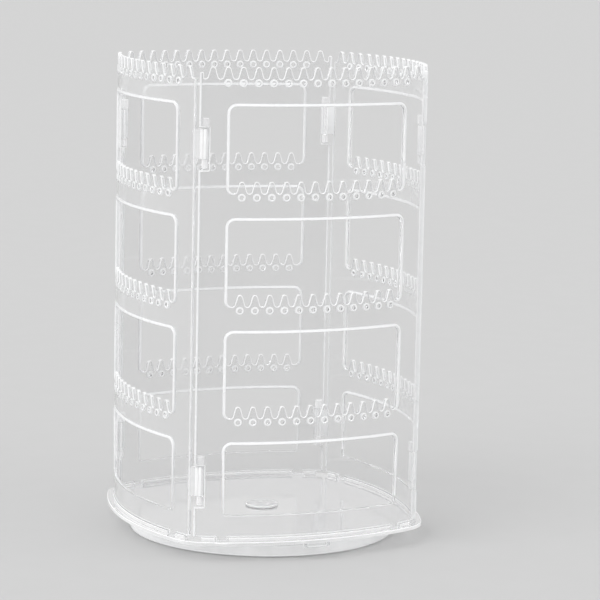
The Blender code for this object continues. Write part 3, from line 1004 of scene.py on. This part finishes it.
def base_bosses():
    """The cups inside the dish that hold the pads."""
    roof, bore = FOOT_HEIGHT + GAP, FOOT_RADIUS + GAP
    rim, outer = BASE_FOOT_Z + FOOT_BOSS_DROP, bore + FOOT_BOSS_WALL
    top = BASE_TOP_Z - BASE_WALL - FOOT_BOSS_PLAY
    profile = [(0, roof), (bore, roof), (bore, rim), (outer, rim), (outer, top), (0, top)]
    profile = eased(profile, FOOT_BOSS_EASE)
    cups = [turned("boss", profile, BOSS_SEGMENTS, centre) for centre in foot_places()]
    return joined("base_dish_bosses", cups)


def pivot_cap():
    low, stem = TRAY_FLOOR_Z + GAP, POST_BORE - GAP
    high, foot = low + CAP_FLANGE, low - CAP_STEM_LENGTH
    profile = [(0, high), (CAP_RADIUS, high), (CAP_RADIUS, low), (stem, low), (stem, foot), (0, foot)]
    return turned("pivot_cap_disc", eased(profile, CAP_EASE), CAP_SEGMENTS, outlined=CAP_OUTLINE)


def make_pads(rubber):
    profile = [(0, FOOT_HEIGHT), (FOOT_RADIUS, FOOT_HEIGHT), (FOOT_RADIUS, 0), (0, 0)]
    profile = eased(profile, FOOT_EASE)
    for i, centre in enumerate(foot_places()):
        pad = turned(f"foot_pad_{i + 1}_rubber", profile, PAD_SEGMENTS, centre)
        paint(pad, (rubber,))
        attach(pad, "base")
        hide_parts(f"foot_pad_{i + 1}")


def make_base(face, side, cap_face, edge, rubber):
    dish = base_dish()
    make_pads(rubber)
    kinds = (
        (dish, "base_dish", (face, side, edge)),
        (base_bosses(), "base_dish", (face,)),
        (pivot_cap(), "pivot_cap", (cap_face, edge)),
    )
    for piece, node, finishes in kinds:
        paint(piece, finishes)
        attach(piece, "base")
        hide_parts(node)


# Stage, light and camera


def make_world():
    """A pale studio all round, a little darker at the horizon and overhead."""
    world = bpy.data.worlds.new("studio")
    bpy.context.scene.world = world
    world.use_nodes = True
    tree = world.node_tree
    tree.nodes.clear()
    aim = tree.nodes.new("ShaderNodeTexCoord").outputs["Generated"]
    split = tree.nodes.new("ShaderNodeSeparateXYZ")
    tree.links.new(aim, split.inputs[0])
    ramp = tree.nodes.new("ShaderNodeValToRGB")
    ramp.color_ramp.interpolation = "EASE"
    tree.links.new(split.outputs["Z"], ramp.inputs["Fac"])
    brightest = max(level for _, level in STUDIO)
    while len(ramp.color_ramp.elements) < len(STUDIO):
        ramp.color_ramp.elements.new(0.5)
    for stop, (height, level) in zip(ramp.color_ramp.elements, STUDIO):
        stop.position = height
        stop.color = (*(level / brightest,) * 3, 1)
    glow = tree.nodes.new("ShaderNodeBackground")
    glow.inputs["Strength"].default_value = brightest
    tree.links.new(ramp.outputs["Color"], glow.inputs["Color"])
    out = tree.nodes.new("ShaderNodeOutputWorld")
    tree.links.new(glow.outputs[0], out.inputs["Surface"])


def make_ground():
    shell = Shell()
    shell.verts = [Vector((*p, 0)) for p in box(-GROUND_HALF, GROUND_HALF, -GROUND_HALF, GROUND_HALF)]
    shell.add((0, 1, 2, 3))
    ground = new_piece("ground", shell)
    n = Nodes("ground_paint")
    cloud = n.span(n.noise(scale=40, detail=2), 0, 1)
    colour = n.blend(cloud, (GROUND_TONE,) * 3, (GROUND_TONE * 1.01,) * 3)
    body = n.add("ShaderNodeBsdfPrincipled", Roughness=1.0)
    body.inputs["Specular IOR Level"].default_value = 0.0
    n.link(colour, body.inputs["Base Color"])
    paint(ground, (n.finished(body),))


def soft_sun(name, azimuth, height, power, spread):
    """A broad sun, hidden from mirrored and refracted rays. Its azimuth runs right from the front."""
    lamp = bpy.data.lights.new(name, "SUN")
    lamp.energy = power
    lamp.angle = radians(spread)
    obj = bpy.data.objects.new(name, lamp)
    bpy.context.collection.objects.link(obj)
    ahead = polar(cos(radians(height)), radians(azimuth) - QUARTER)
    source = Vector((ahead.x, ahead.y, sin(radians(height))))
    obj.rotation_euler = source.to_track_quat("Z", "Y").to_euler()
    obj.visible_glossy = False
    obj.visible_transmission = False


def make_light():
    soft_sun("key", azimuth=-60, height=50, power=0.95, spread=40)
    soft_sun("side_left", azimuth=-75, height=15, power=0.8, spread=70)
    soft_sun("side_right", azimuth=40, height=15, power=0.9, spread=70)


def make_camera():
    data = bpy.data.cameras.new("photo_view")
    data.sensor_width = CAMERA_SENSOR
    data.lens = CAMERA_LENS
    data.clip_start = 0.05
    data.clip_end = 100
    camera = bpy.data.objects.new("photo_view", data)
    bpy.context.collection.objects.link(camera)
    heading = Matrix.Rotation(-CAMERA_LEFT_OF_FRONT, 4, "Z")
    pitch = Matrix.Rotation(QUARTER - CAMERA_HEIGHT, 4, "X")
    roll = Matrix.Rotation(CAMERA_ROLL, 4, "Z")
    back_off = Matrix.Translation((0, 0, CAMERA_DISTANCE))
    camera.matrix_world = Matrix.Translation(CAMERA_AIM) @ heading @ pitch @ roll @ back_off
    bpy.context.scene.camera = camera


def set_up_render():
    scene = bpy.context.scene
    scene.view_settings.view_transform = "Standard"
    scene.cycles.max_bounces = 32
    scene.cycles.transmission_bounces = 32
    scene.cycles.glossy_bounces = 32
    scene.cycles.diffuse_bounces = 6
    scene.cycles.transparent_max_bounces = 48


def build():
    set_up_render()
    # Edge materials painted near white as a highlight, one solid and one veiled
    edge = painted_highlight_edge("painted_highlight_edge", through=0.15)
    veil = painted_highlight_edge("veiled_painted_highlight_edge", through=0.6)
    frosted = frosted_plastic()
    make_panels((panel_plastic(), edge, veil), (frosted, edge, veil))
    make_tray(tray_plastic(), edge, frosted)
    make_base(base_plastic(), base_side_plastic(), cap_plastic(), edge, pad_rubber())
    make_world()
    make_ground()
    make_light()
    make_camera()


build()
